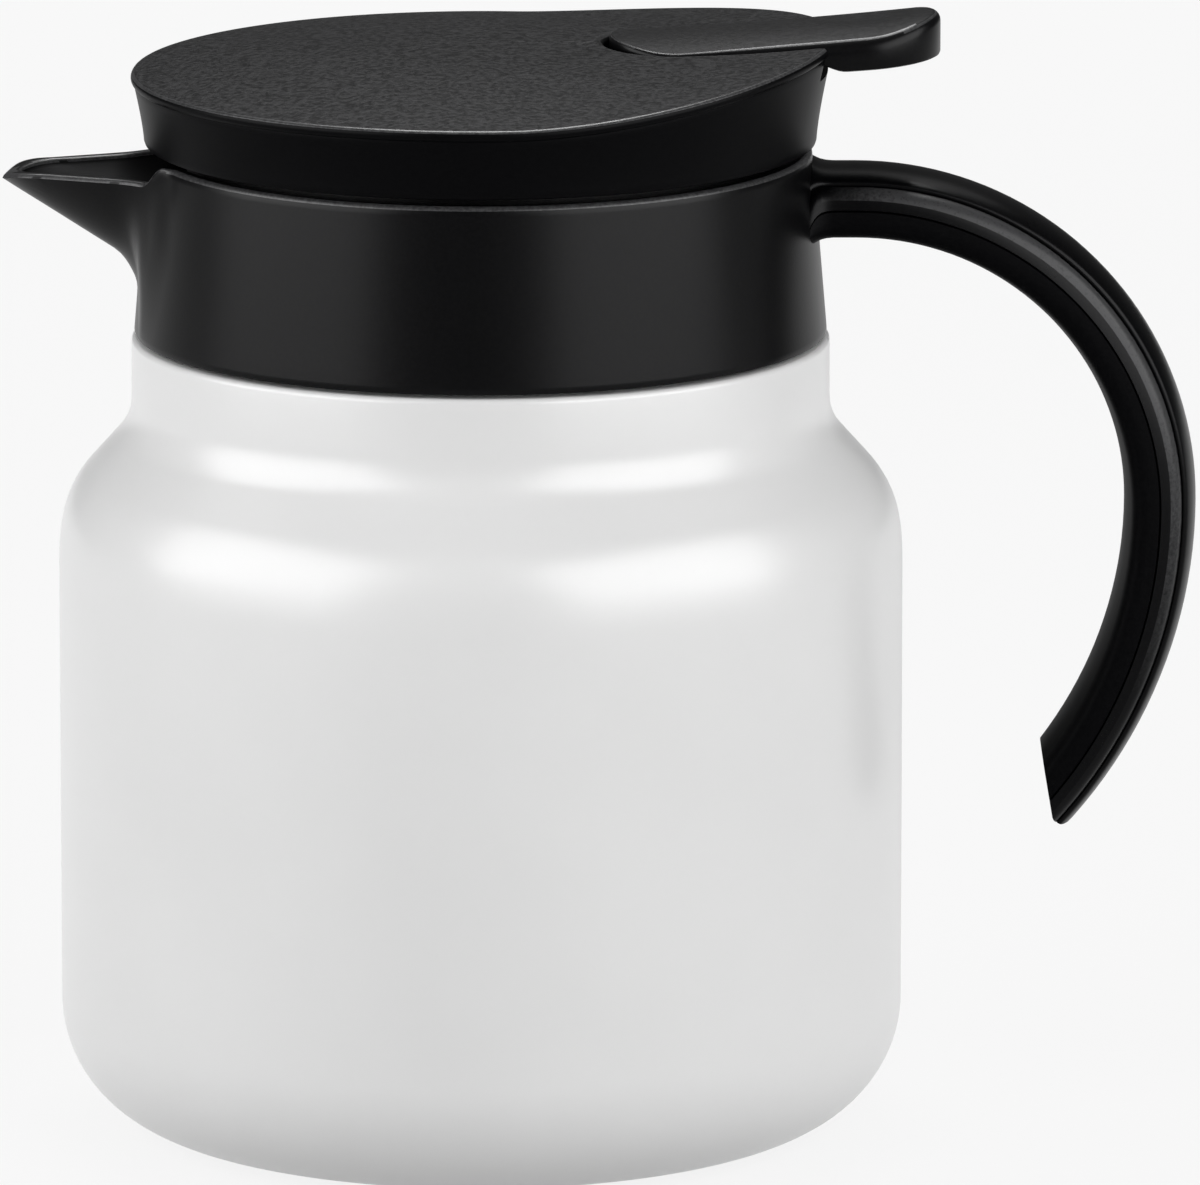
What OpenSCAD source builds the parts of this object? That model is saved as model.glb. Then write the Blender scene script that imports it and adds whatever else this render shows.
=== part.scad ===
// Thermal carafe: a double-walled jug with a collar, a beaked spout, an open handle and a screw lid whose
// thumb lever lifts a valve. Millimetres. The foot stands on z = 0, the handle is on +X, the spout on -X.

/* [Jug] */
// Outside radius of the straight wall
body_r = 62.5; // [58:0.5:68]
// Radius of the round at the foot
foot_r = 19; // [12:0.5:24]
// Inside radius of the foot ring
foot_in = 36; // [28:0.5:40]
// Height where the straight wall ends
wall_top = 89; // [80:1:110]
// Outside radius of the neck
neck_r = 51.6; // [50:0.1:53]
// Height of the straight neck that shows
neck_h = 9; // [6:0.5:14]
// Radius of the outward round of the shoulder
shoulder_r = 14; // [11:0.5:18]
// Radius of the inward round under the neck
hollow_r = 9; // [6:0.5:12]
// Lean of the shoulder from upright, in degrees
shoulder_lean = 42; // [36:1:50]
// Thickness of the sheet steel
sheet = 0.8; // [0.6:0.1:1]
// Space between the two walls
vacuum_gap = 5; // [4:0.5:5.5]

/* [Collar and spout] */
// Height of the collar
collar_h = 27.4; // [26:0.2:32]
// Wall of the collar at its top edge
collar_wall = 2.5; // [2:0.1:3.5]
// Reach of the spout from the axis
spout_reach = 70.6; // [66:0.5:76]
// Half width of the spout where it leaves the collar
spout_half = 12.3; // [10:0.1:14]
// Drop of the spout rim below the top of the collar
spout_drop = 2.8; // [2:0.1:3.5]

/* [Handle] */
// Radius of the upper bend, on the middle line
handle_r1 = 45.2; // [40:0.2:50]
// Radius of the lower bend, on the middle line
handle_r2 = 67.8; // [60:0.2:76]
// Turn of the lower bend, in degrees
handle_end = 35.6; // [28:0.2:40]
// Thickness of the handle, front to back
handle_t = 10.6; // [9:0.2:12]
// Half width of the handle
handle_half = 10.2; // [9:0.2:12]

/* [Lid] */
// Height of the lid rim above the lower edge of the skirt
rim_h = 10.5; // [9:0.5:13]
// Rise of the rim toward the handle
rim_rise = 5.6; // [4:0.2:6.4]
// Height of the crown above the rim
crown = 4.2; // [3:0.2:5]
// Turn of the thread ridges, in degrees
ridge_sweep = 40; // [30:1:44]
// Rise of the thread in one turn
thread_lead = 36; // [32:1:40]

/* [Lever and valve] */
// Width of the lever
lever_w = 22; // [18:0.5:24]
// Reach of the lever past the rim
lever_reach = 16.3; // [10:0.5:20]
// Gap around the lever
lever_gap = 0.8; // [0.6:0.1:1.2]
// Radius of the lever pin
pin_r = 1.2; // [1:0.1:1.5]
// Radius of the valve stem
stem_r = 2.5; // [2:0.1:2.8]
// Radius of the valve opening
seat_r = 8; // [6:0.5:8.5]

/* [Hidden] */
$fn = 96;
eps = 0.01;
// Play of a turning pin, gap between still pieces, gap between moving pieces, step where two sweeps join
play = 0.05;
fit = 0.2;
clear = 0.4;
seam = 0.03;

slope_run = ((body_r - neck_r) - (shoulder_r + hollow_r)*(1 - cos(shoulder_lean)))/sin(shoulder_lean);
hollow_z = wall_top + (shoulder_r + hollow_r)*sin(shoulder_lean) + slope_run*cos(shoulder_lean);
neck_top = hollow_z + neck_h;
mouth_r = neck_r - 2*sheet - vacuum_gap;
core_r = mouth_r + sheet + 2;

collar_z = neck_top + 0.5;
collar_top = collar_z + collar_h;
collar_r = neck_r - 0.4;
bore_r = mouth_r + 1.4;
collar_top_r = bore_r + collar_wall;
lip_z = collar_z + 7.6;
shelf_z0 = lip_z + 1.2;
shelf_z1 = shelf_z0 + 2.2;
ring_z = collar_z + 3.6;
ring_r = 0.8;
spout_z = collar_top - spout_drop;

handle_z = collar_top - 7.6;
handle_x = 55.4 + neck_r - 51.6;
screw_z = handle_z + 1.7;
bend_x = handle_x + handle_r1 - handle_r2;
bend_z = handle_z - handle_r1;

stopper_r = mouth_r - 0.6;
plug_r = mouth_r - 3;
deck_z0 = collar_top;
deck_z1 = deck_z0 + 2.4;
skirt_z = collar_top + 1.1;
skirt_r = collar_top_r + 0.7;
rim_z = skirt_z + rim_h;
rim_r = skirt_r + 1.9;
shell_t = 2.2;
base_z = shelf_z0 - 6.6;
seat_z = base_z + 4.6;

pin_x = 40;
pin_z = rim_z - 2.4;
floor_z = rim_z + 0.2;
floor_t = 1.6;
lever_in = 19;
lever_out = rim_r + lever_reach;
lever_z = rim_z + 2.8;
nose_z = deck_z1 + 2.2;
nose_r = 1.3;
lift_z = nose_z + nose_r + 0.1;
screw_at = [for (a = [50, 130, 230, 310]) [36*cos(a), 36*sin(a)]];

// Outline of the jug, moved inward by o: foot, wall, shoulder and neck
module jug_profile(o) {
    shoulder_x = body_r - shoulder_r;
    hollow_x = neck_r + hollow_r;
    a = shoulder_lean;
    low = [shoulder_x + (shoulder_r - o)*cos(a), wall_top + (shoulder_r - o)*sin(a)];
    high = [hollow_x - (hollow_r + o)*cos(a), hollow_z - (hollow_r + o)*sin(a)];
    translate([0, o]) square([body_r - foot_r, foot_r]);
    translate([body_r - foot_r, foot_r]) circle(foot_r - o);
    translate([0, foot_r]) square([body_r - o, wall_top - foot_r]);
    translate([shoulder_x, wall_top]) circle(shoulder_r - o);
    polygon([[0, wall_top - eps], [low[0], wall_top - eps], low, high, [0, high[1]]]);
    difference() {
        translate([0, high[1] - eps]) square([high[0], hollow_z - high[1] + eps]);
        translate([hollow_x, hollow_z]) circle(hollow_r + o);
    }
    translate([0, hollow_z - eps]) square([neck_r - o, neck_h - 0.8 - o + eps]);
    translate([0, hollow_z]) square([neck_r - 0.8 - o, neck_h - o]);
    translate([neck_r - 0.8 - o, neck_top - 0.8 - o]) circle(0.8);
}

module outer_shell() {
    color("white") rotate_extrude() difference() {
        union() {
            jug_profile(0);
            translate([0, neck_top - 2]) square([core_r, lip_z - sheet - neck_top + 2]);
        }
        difference() {
            union() {
                jug_profile(sheet);
                translate([0, neck_top - 4]) square([core_r - sheet, 20]);
            }
            translate([core_r + 0.1, ring_z]) circle(ring_r + 0.1 + sheet);
        }
        translate([core_r + 0.1, ring_z]) circle(ring_r + 0.1);
        translate([0, -1]) square([foot_in, 1 + sheet + eps]);
    }
}

module inner_flask() {
    o = sheet + vacuum_gap;
    color("silver") rotate_extrude() difference() {
        union() {
            jug_profile(o);
            translate([0, hollow_z]) square([mouth_r + sheet, lip_z - hollow_z]);
            translate([0, lip_z - sheet]) square([core_r, sheet]);
        }
        jug_profile(o + sheet);
        translate([0, hollow_z]) square([mouth_r, lip_z - hollow_z + 1]);
    }
}

module base_plate() {
    color("silver") translate([0, 0, sheet]) difference() {
        cylinder(r = foot_in + 3, h = sheet);
        translate([0, 0, -1]) cylinder(r = 1.6, h = sheet + 2);
    }
}

module getter_capsule() {
    color("gray") translate([18, 0, 2*sheet]) {
        cylinder(r = 5, h = 0.6);
        cylinder(r = 3.6, h = 2.4);
    }
}

module vacuum_plug() {
    color("gray") {
        translate([0, 0, 0.25]) cylinder(r = 3, h = sheet - 0.25);
        cylinder_at(0, sheet - eps, 1.6 - play, sheet + eps);
    }
}

module cylinder_at(x, z, r, h) {
    translate([x, 0, z]) cylinder(r = r, h = h);
}

// Half width of the spout at reach x, and the height of its keel there
function spout_w(x) = let (straight = spout_reach - 6.6, w1 = spout_half*0.63, root = mouth_r + 5,
        w = x > straight ? w1*sqrt(max(0.01, 1 - pow((x - straight)/6.7, 2)))
            : spout_half + (w1 - spout_half)*(x - root)/(straight - root))
    w + (x < root + 3 ? 2.2*pow((root + 3 - x)/6, 2) : 0);
function keel_z(x) = let (bend = mouth_r + 9.1, root = mouth_r + 5,
        line = spout_z - 1.2 - (spout_reach - x)*0.64)
    x > bend ? line : line - 4.2*pow((bend - x)/(bend - root), 2.2);
function floor_of(x) = spout_z - 0.9 - max(0, spout_reach - 1.5 - x)*0.19;

// Trough along the spout: rim height zr, half width and bottom from the values at each reach
module trough(xs, ws, zs, zr, bow) {
    n = 16;
    row = n + 1;
    pts = [for (i = [0:len(xs) - 1]) for (k = [0:n]) let (t = 2*k/n - 1)
        [-xs[i], ws[i]*t, zs[i] + (zr - zs[i])*pow(abs(t), bow)]];
    last = (len(xs) - 1)*row;
    side = [for (i = [0:len(xs) - 2]) for (k = [0:n - 1]) let (a = i*row + k)
        each [[a, a + 1, a + row], [a + 1, a + row + 1, a + row]]];
    top = [for (i = [0:len(xs) - 2]) let (a = i*row, b = a + n)
        each [[a, a + row, b], [b, a + row, b + row]]];
    ends = [[for (k = [n:-1:0]) k], [for (k = [0:n]) last + k]];
    polyhedron(pts, concat(side, top, ends));
}

// One thread ridge from radius r0 (in the wall) to r1, starting at angle a and height z
module ridge(r0, r1, a, z) {
    steps = 8;
    pts = [for (i = [0:steps]) let (u = a + ridge_sweep*i/steps, h = z + thread_lead*ridge_sweep*i/steps/360)
        each [for (q = [[r0, -1.3], [r1, -0.8], [r1, 0.8], [r0, 1.3]]) [q[0]*cos(u), q[0]*sin(u), h + q[1]]]];
    side = [for (i = [0:steps - 1]) for (k = [0:3]) let (p = 4*i + k, q = 4*i + (k + 1)%4)
        each [[p, q, p + 4], [q, q + 4, p + 4]]];
    ends = [[3, 2, 1, 0], [for (k = [0:3]) 4*steps + k]];
    faces = concat(side, ends);
    polyhedron(pts, r1 > r0 ? faces : [for (f = faces) [for (k = [len(f) - 1:-1:0]) f[k]]]);
}

ridge_z = shelf_z1 + 2.2;

module collar() {
    xs = [mouth_r - 1, mouth_r + 2, mouth_r + 3.6, mouth_r + 4.6, mouth_r + 5.4, mouth_r + 6.4, mouth_r + 7.8,
        mouth_r + 9.1, mouth_r + 13, spout_reach - 6.6, spout_reach - 4, spout_reach - 2, spout_reach - 0.8,
        spout_reach];
    cut = [for (x = [mouth_r - 2, mouth_r + 4, mouth_r + 10, spout_reach - 6.6, spout_reach - 4,
        spout_reach - 2.2]) x];
    color("black") {
        difference() {
            union() {
                rotate_extrude() polygon([[bore_r - 2, collar_z], [collar_r - 0.5, collar_z],
                    [collar_r - 0.1, collar_z + 0.2], [collar_r, collar_z + 0.7],
                    [collar_top_r, collar_top - 0.6], [collar_top_r - 0.2, collar_top - 0.15],
                    [collar_top_r - 0.6, collar_top], [bore_r + 0.4, collar_top], [bore_r, collar_top - 0.4],
                    [bore_r - 2, collar_top - 0.4]]);
                trough(xs, [for (x = xs) spout_w(x)], [for (x = xs) max(keel_z(x), collar_z + 6)], spout_z, 1.7);
            }
            cylinder_at(0, shelf_z1, bore_r, 40);
            cylinder_at(0, collar_z - 1, mouth_r, 40);
            cylinder_at(0, collar_z - 1, core_r + fit, shelf_z0 - collar_z + 1);
            rotate_extrude() translate([core_r + 0.1, ring_z]) circle(ring_r + 0.1);
            trough(cut, [for (x = cut) spout_w(x) - 1.7], [for (x = cut) floor_of(x)], spout_z + 0.2, 2.4);
            rotate([90, 0, -90]) linear_extrude(100) polygon([
                [-spout_half - 2.4, collar_top + 1], [-spout_half - 2, collar_top - 0.1],
                [-spout_half - 1, collar_top - 1], [-spout_half - 0.2, spout_z + 0.4], [-spout_half + 0.7, spout_z],
                [spout_half - 0.7, spout_z], [spout_half + 0.2, spout_z + 0.4], [spout_half + 1, collar_top - 1],
                [spout_half + 2, collar_top - 0.1], [spout_half + 2.4, collar_top + 1]]);
            for (y = [-5, 5]) translate([bore_r + 0.8, y, screw_z]) rotate([0, 90, 0])
                cylinder(r = 1.25, h = 10);
        }
        for (a = [20:90:290]) ridge(bore_r + 0.5, mouth_r + 0.1, a, ridge_z);
    }
}

module neck_ring() {
    color("silver") rotate([0, 0, 15]) rotate_extrude(angle = 330) translate([core_r + 0.1, ring_z]) circle(ring_r);
}

module neck_seal() {
    color("gray") rotate_extrude() translate([mouth_r + 0.2, lip_z]) square([core_r - mouth_r - 0.3, 1.2]);
}

// Halves of the handle section, made smaller by g: first number is outward from the middle line, second is across
module frame_section(g = 0) {
    h = handle_t/2 - g;
    w = handle_half - g;
    half = [[h, w - 3.2], [h - 0.3, w - 2.5], [h - 1, w - 1.7], [h - 2, w - 1], [h - 2.7, w - 0.3],
        [h - 3.4, w], [h - 4.4, w], [-0.1 + g, w - 0.2]];
    polygon(concat(half, [for (i = [7:-1:0]) [half[i][0], -half[i][1]]]));
}
module grip_section(g = 0) {
    h = handle_t/2 - g;
    w = handle_half - g;
    half = [[-0.5 - g, w - 0.4], [-1.6, w - 0.5], [-h + 2.4, w - 1.2], [-h + 1.3, w - 2.3], [-h + 0.5, w - 4],
        [-h + 0.1, w - 6.2], [-h, w - 8]];
    polygon(concat(half, [for (i = [6:-1:0]) [half[i][0], -half[i][1]]]));
}

// Sweep along the handle: the first section makes the upper bend, the second the root and the lower bend
module along_handle(turn, root) {
    translate([handle_x + 0.3, 0, handle_z]) rotate([0, -90, 0]) linear_extrude(root + 0.3) children(1);
    translate([handle_x, 0, bend_z]) rotate([90, 0, 0]) rotate_extrude(angle = 90)
        translate([handle_r1, 0]) children(0);
    translate([bend_x, 0, bend_z]) rotate([90, 0, 0]) rotate([0, 0, -turn]) rotate_extrude(angle = turn + 0.3)
        translate([handle_r2, 0]) children(1);
}

// Widening of a section where it meets the collar
module root_flare() {
    translate([handle_x - 1.4, 0, handle_z]) rotate([0, -90, 0]) linear_extrude(2.4, scale = 1.07) children();
    translate([handle_x - 3.7, 0, handle_z]) rotate([0, -90, 0]) linear_extrude(4.1, scale = 1.22)
        scale([1.06, 1.06]) children();
}

// Room of the collar, and the slanted cut at the lower end of the handle
module handle_trim() {
    k = (collar_r - collar_top_r)/(collar_h - 1.3);
    translate([0, 0, collar_z]) cylinder(r1 = collar_r + play + 0.7*k, r2 = collar_top_r + play - 0.6*k,
        h = collar_h);
    translate([bend_x + (handle_r2 - handle_t/2)*cos(handle_end), 0,
        bend_z - (handle_r2 - handle_t/2)*sin(handle_end)])
        rotate([0, -14.7, 0]) translate([-60, -30, -60]) cube([60, 60, 120]);
}

module handle_frame() {
    color("black") difference() {
        union() {
            along_handle(handle_end + 14, 9) {
                frame_section();
                frame_section(seam);
            }
            root_flare() frame_section(2*seam);
        }
        handle_trim();
        translate([handle_x, 0, bend_z]) rotate([90, 0, 0]) rotate_extrude(angle = 84)
            translate([handle_r1 - 1, -handle_half + 2.6]) square([handle_t/2 - 1.7, 2*handle_half - 5.2]);
        translate([bend_x, 0, bend_z]) rotate([90, 0, 0]) rotate([0, 0, 4 - handle_end])
            rotate_extrude(angle = handle_end - 3) translate([handle_r2 - 1.2, -handle_half + 2.7])
                square([handle_t/2 - 1.6, 2*handle_half - 5.4]);
        for (y = [-5, 5]) translate([0, y, screw_z]) rotate([0, 90, 0]) {
            cylinder(r = 1.5, h = handle_x + 2);
            translate([0, 0, handle_x - 0.9]) cylinder(r = 2.4, h = 7);
        }
    }
}

module handle_grip() {
    color("black") difference() {
        union() {
            along_handle(handle_end + 14, 9) {
                grip_section();
                grip_section(seam);
            }
            root_flare() grip_section(2*seam);
            translate([handle_x, 0, bend_z]) rotate([90, 0, 0]) rotate_extrude(angle = 82)
                translate([handle_r1 - 1, -handle_half + 2.9]) square([handle_t/2 - 2.6, 2*handle_half - 5.8]);
            translate([bend_x, 0, bend_z]) rotate([90, 0, 0]) rotate([0, 0, 5 - handle_end])
                rotate_extrude(angle = handle_end - 4.7) translate([handle_r2 - 1, -handle_half + 3])
                    square([handle_t/2 - 2.7, 2*handle_half - 6]);
        }
        handle_trim();
    }
}

module handle_screws() {
    color("silver") for (y = [-5, 5]) translate([bore_r + 1, y, screw_z]) rotate([0, 90, 0]) {
        cylinder(r = 1.2, h = handle_x - bore_r);
        translate([0, 0, handle_x - bore_r - 1.85]) cylinder(r = 2.2, h = 1.6);
    }
}

module stopper_gasket() {
    z0 = base_z + 2.8;
    z1 = shelf_z0 + 0.6;
    r1 = mouth_r - clear;
    color("gray") rotate_extrude() polygon([[plug_r + 0.3, z0], [r1 - 1.2, z0], [r1 - 1.2, z0 + 0.6],
        [r1, z0 + 1], [r1, z0 + 1.6], [r1 - 1.2, z0 + 1.4], [r1 - 1.2, z1 - 1.4], [r1, z1 - 1], [r1, z1 - 0.4],
        [r1 - 1.2, z1], [plug_r + 0.3, z1]]);
}

// Rise of the lid rim toward the handle, and the height of the lid top above the rim
function rise(a) = rim_rise*pow(max(0, (cos(a) - 0.1)/0.9), 1.6);
function lid_top(q, a) = rim_z + crown*(1 - q*q) + rise(a)*pow(q, 2.5);

// Outline of the lid cover at angle a, from the middle of the top round to the middle of the underside
function cover_line(a) = let (top_r = rim_r - 1, lip = rim_z + rise(a) - 1, under = lip - 1.2,
        flare = rim_r - 0.6 - skirt_r)
    concat([for (q = [0.2, 0.4, 0.6, 0.75, 0.88, 0.96]) [q*top_r, lid_top(q, a)]],
        [for (b = [80, 45, 10, -25, -60]) [top_r + cos(b), lip + sin(b)]],
        [for (f = [1, 0.7, 0.4, 0]) [skirt_r + flare*pow(f, 1.3), skirt_z + (under - skirt_z)*f]],
        [[skirt_r - 2, skirt_z], [rim_r - 3, rim_z - 2.6 + rise(a)]],
        [for (q = [0.9, 0.6, 0.3]) [q*top_r, lid_top(q, a) - shell_t]]);

module cover_shell() {
    n = 60;
    m = len(cover_line(0));
    pts = concat([for (i = [0:n - 1]) each [for (p = cover_line(360*i/n)) [p[0]*cos(360*i/n), p[0]*sin(360*i/n), p[1]]]],
        [[0, 0, rim_z + crown], [0, 0, rim_z + crown - shell_t]]);
    side = [for (i = [0:n - 1]) for (k = [0:m - 2]) let (a = i*m + k, b = ((i + 1)%n)*m + k)
        each [[a, a + 1, b], [a + 1, b + 1, b]]];
    caps = [for (i = [0:n - 1]) let (a = i*m, b = ((i + 1)%n)*m)
        each [[n*m, a, b], [n*m + 1, b + m - 1, a + m - 1]]];
    polyhedron(pts, [for (f = concat(side, caps)) [f[2], f[1], f[0]]]);
}

// Plan of the lever grown by g, from its inner end outward
module lever_plan(g, out) {
    r = lever_w/2;
    translate([lever_in + r, 0]) circle(r + g);
    translate([lever_in + r, -r - g]) square([out - lever_in - r, 2*(r + g)]);
}

module lid_cover() {
    color("black") difference() {
        union() {
            cover_shell();
            intersection() {
                translate([0, 0, floor_z - floor_t]) linear_extrude(floor_t + 3.4) lever_plan(lever_gap + 1.5, 60);
                cylinder_at(0, floor_z - floor_t, rim_r - 1.2, 20);
            }
            for (s = [-1, 1]) translate([pin_x - 3, s*10 - 1.5, pin_z - 2.6])
                cube([6, 3, floor_z - floor_t - pin_z + 2.8]);
            for (p = screw_at) translate([p[0], p[1], deck_z1 + 0.05])
                cylinder(r = 3.4, h = rim_z + 0.9 - deck_z1);
        }
        translate([0, 0, floor_z]) linear_extrude(30) lever_plan(lever_gap, 90);
        translate([pin_x - 4.3, -8.5, floor_z - floor_t - 1]) cube([8.6, 17, floor_t + 2]);
        translate([pin_x, 0, pin_z]) rotate([90, 0, 0]) cylinder(r = pin_r + eps, h = 24, center = true);
        for (p = screw_at) translate([p[0], p[1], deck_z1 - 1]) cylinder(r = 1.25, h = 7.6);
    }
}

module stopper() {
    color("black") {
        difference() {
            rotate_extrude() polygon([[plug_r - 2.4, base_z + 2.5], [plug_r, base_z + 2.5], [plug_r, shelf_z0 + 1],
                [stopper_r, shelf_z0 + 1], [stopper_r, deck_z0 + 0.8], [skirt_r - 2.4, deck_z0 + 0.8],
                [skirt_r - 2.4, deck_z1], [4.4, deck_z1], [4.4, deck_z1 - 2.8], [stem_r + 0.1, deck_z1 - 2.8],
                [stem_r + 0.1, deck_z0 - 2.2], [7, deck_z0 - 2.2], [7, deck_z0], [stopper_r - 2.4, deck_z0],
                [stopper_r - 2.4, shelf_z1 + 1], [plug_r - 2.4, shelf_z1 + 1]]);
            translate([-60, -11, spout_z - 4.8]) cube([40, 22, 6.8]);
            for (p = screw_at) translate([p[0], p[1], deck_z0 - 1]) cylinder(r = 1.5, h = 5);
        }
        for (a = [20:90:290]) ridge(stopper_r - 0.5, bore_r - 0.6, a + 18, ridge_z - 2.3 + thread_lead*18/360);
    }
}

module stopper_base() {
    r = plug_r - 2.6;
    color("black") rotate_extrude() difference() {
        polygon([[seat_r, base_z], [mouth_r - 1.3, base_z], [mouth_r - 1.3, base_z + 2.3], [r, base_z + 2.3],
            [r, base_z + 6.8], [r - 2.1, base_z + 6.8], [r - 2.1, base_z + 2.3], [seat_r + 3, base_z + 2.3],
            [seat_r + 3, seat_z], [seat_r, seat_z]]);
        translate([r - 0.7, base_z + 5]) circle(0.95);
    }
}

module base_ring() {
    color("gray") rotate_extrude() translate([plug_r - 3.3, base_z + 5]) circle(0.85);
}

module cover_screws() {
    color("silver") for (p = screw_at) translate([p[0], p[1], deck_z0]) {
        translate([0, 0, -1.8]) cylinder(r = 2.6, h = 1.8);
        translate([0, 0, -eps]) cylinder(r = 1.2, h = 8);
    }
}

module stem_ring() {
    color("gray") rotate_extrude() translate([(stem_r + 4.4)/2 + 0.02, deck_z1 - 1.9])
        circle((4.4 - stem_r)/2 - 0.1);
}

module gland_cap() {
    color("black") difference() {
        cylinder_at(0, deck_z1 - 0.9, 4.4 - play, 0.9);
        cylinder_at(0, deck_z1 - 2, stem_r + 0.3, 3);
    }
}

module lever_pin() {
    color("silver") translate([pin_x, 0, pin_z]) rotate([90, 0, 0]) cylinder(r = pin_r, h = 23, center = true);
}

// Height of the lever top at x
function lever_top(x) = rim_z + 5.3 + 0.045*(x - lever_in) + 0.00065*pow(x - lever_in, 2);

module lever() {
    r = lever_w/2;
    steps = 14;
    span = lever_out - lever_in;
    top = [for (i = [0:steps]) let (x = lever_in - 0.5 + (span + 1)*i/steps) [x, lever_top(x)]];
    color("black") difference() {
        union() {
            intersection() {
                translate([0, 0, lever_z - 1]) linear_extrude(20) union() {
                    lever_plan(0, lever_out - r);
                    translate([lever_out - r, 0]) circle(r);
                }
                rotate([90, 0, 0]) linear_extrude(2*lever_w, center = true)
                    polygon(concat(top, [[lever_out + 1, lever_z], [lever_in - 1, lever_z]]));
            }
            translate([pin_x - 3.4, -8.2, pin_z - 2.8]) cube([6.8, 16.4, lever_z - pin_z + 3.3]);
            rotate([90, 0, 0]) linear_extrude(6.8, center = true) polygon([[pin_x - 2, pin_z],
                [pin_x - 2, pin_z - 2.8], [0, nose_z - nose_r], [0, nose_z + nose_r], [7, nose_z + nose_r]]);
            rotate([90, 0, 0]) linear_extrude(12, center = true) polygon([[9, nose_z + nose_r + 0.2],
                [9, nose_z - 0.6], [0, nose_z - nose_r], [0, nose_z + nose_r], [7, nose_z + nose_r]]);
            translate([0, 0, nose_z]) rotate([90, 0, 0]) cylinder(r = nose_r, h = 12, center = true);
        }
        translate([pin_x, 0, pin_z]) rotate([90, 0, 0]) cylinder(r = pin_r + play, h = 30, center = true);
        translate([-10, -stem_r - clear, nose_z - 5]) cube([10 + stem_r + 0.9, 2*(stem_r + clear), 10]);
    }
}

module valve_stem() {
    color("black") difference() {
        union() {
            cylinder_at(0, base_z + 1.8, stem_r, lift_z + 2.4 - base_z - 1.8);
            cylinder_at(0, lift_z, 6, 1.6);
            cylinder_at(0, seat_z + 2.2, seat_r + 1, 1.6);
        }
        difference() {
            cylinder_at(0, seat_z - 0.85, stem_r + 1, 0.9);
            cylinder_at(0, seat_z - 1, stem_r - 0.5, 2);
        }
    }
}

module valve_seal() {
    color("gray") difference() {
        cylinder_at(0, seat_z + 0.1, seat_r + 2.4, 2.1);
        cylinder_at(0, seat_z, stem_r + 0.02, 3);
    }
}

module stem_clip() {
    color("silver") difference() {
        cylinder_at(0, seat_z - 0.8, stem_r + 2.6, 0.8);
        cylinder_at(0, seat_z - 2, stem_r - 0.45, 4);
        translate([0, -1.4, seat_z - 2]) cube([10, 2.8, 4]);
    }
}

// Valve spring: one unbroken coil between the valve plate and the underside of the deck
wire_r = 0.45;
coil_r = stem_r + 2.1;
coil_turns = 6;
coil_rings = coil_turns*8;
coil_z0 = seat_z + 3.8 + wire_r;
coil_z1 = deck_z0 - 2.2 - wire_r;
function coil_at(i) = let (u = 360*coil_turns*i/coil_rings)
    [coil_r*cos(u), coil_r*sin(u), coil_z0 + (coil_z1 - coil_z0)*i/coil_rings];
coil_gap = min([for (i = [0:coil_rings]) for (j = [i + 5:1:coil_rings]) norm(coil_at(i) - coil_at(j))]) - 2*wire_r;
echo(str("valve_spring least gap ", coil_gap));

module valve_spring() {
    n = coil_rings;
    pts = [for (i = [0:n]) let (c = coil_at(i), u = 360*coil_turns*i/n) for (k = [0:5])
        c + wire_r*[cos(60*k)*cos(u), cos(60*k)*sin(u), sin(60*k)]];
    side = [for (i = [0:n - 1]) for (k = [0:5]) let (a = 6*i + k, b = 6*i + (k + 1)%6)
        each [[a, b, a + 6], [b, b + 6, a + 6]]];
    ends = [[5, 4, 3, 2, 1, 0], [for (k = [0:5]) 6*n + k]];
    color("silver") polyhedron(pts, [for (f = concat(side, ends)) [for (k = [len(f) - 1:-1:0]) f[k]]]);
}

outer_shell();
inner_flask();
base_plate();
getter_capsule();
vacuum_plug();
collar();
neck_ring();
neck_seal();
handle_frame();
handle_grip();
handle_screws();
stopper_gasket();
lid_cover();
stopper();
stopper_base();
base_ring();
cover_screws();
stem_ring();
gland_cap();
lever_pin();
lever();
valve_stem();
valve_seal();
stem_clip();
valve_spring();
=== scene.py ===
"""Thermal carafe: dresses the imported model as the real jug, from its coated wall to the lid and lever."""
import math

import bmesh
import bpy
from mathutils import Matrix, Vector


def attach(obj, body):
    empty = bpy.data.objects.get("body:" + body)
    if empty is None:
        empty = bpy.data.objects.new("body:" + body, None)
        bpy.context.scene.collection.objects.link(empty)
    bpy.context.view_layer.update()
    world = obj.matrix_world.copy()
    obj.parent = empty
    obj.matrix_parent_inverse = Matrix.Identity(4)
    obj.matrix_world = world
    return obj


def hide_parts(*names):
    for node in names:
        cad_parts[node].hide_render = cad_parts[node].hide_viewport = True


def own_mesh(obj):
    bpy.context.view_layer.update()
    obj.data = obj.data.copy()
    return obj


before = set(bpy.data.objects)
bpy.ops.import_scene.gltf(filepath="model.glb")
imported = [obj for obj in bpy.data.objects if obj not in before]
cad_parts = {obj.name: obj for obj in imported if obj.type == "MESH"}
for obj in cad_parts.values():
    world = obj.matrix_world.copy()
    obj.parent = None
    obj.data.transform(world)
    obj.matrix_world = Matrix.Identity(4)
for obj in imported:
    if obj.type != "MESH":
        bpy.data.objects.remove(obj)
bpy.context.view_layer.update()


# Outer shell: the jug's wall, drawn and spun from thin stainless sheet, with a white gloss coat sprayed on.
# Its foot turns in to a standing ring, and the neck steps in where the collar slides over it.
MM = 0.001
WALL_R, FOOT_R, EASE_R, SHOULDER_R, HOLLOW_R = 62.5, 19.0, 36.0, 15.9, 9.0
FOOT_IN, NECK_R, CORE_R = 36.0, 51.6, 47.8
WALL_TOP, HOLLOW_Z, NECK_TOP, CORE_TOP = 85.4, 109.935, 118.935, 126.235
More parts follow.
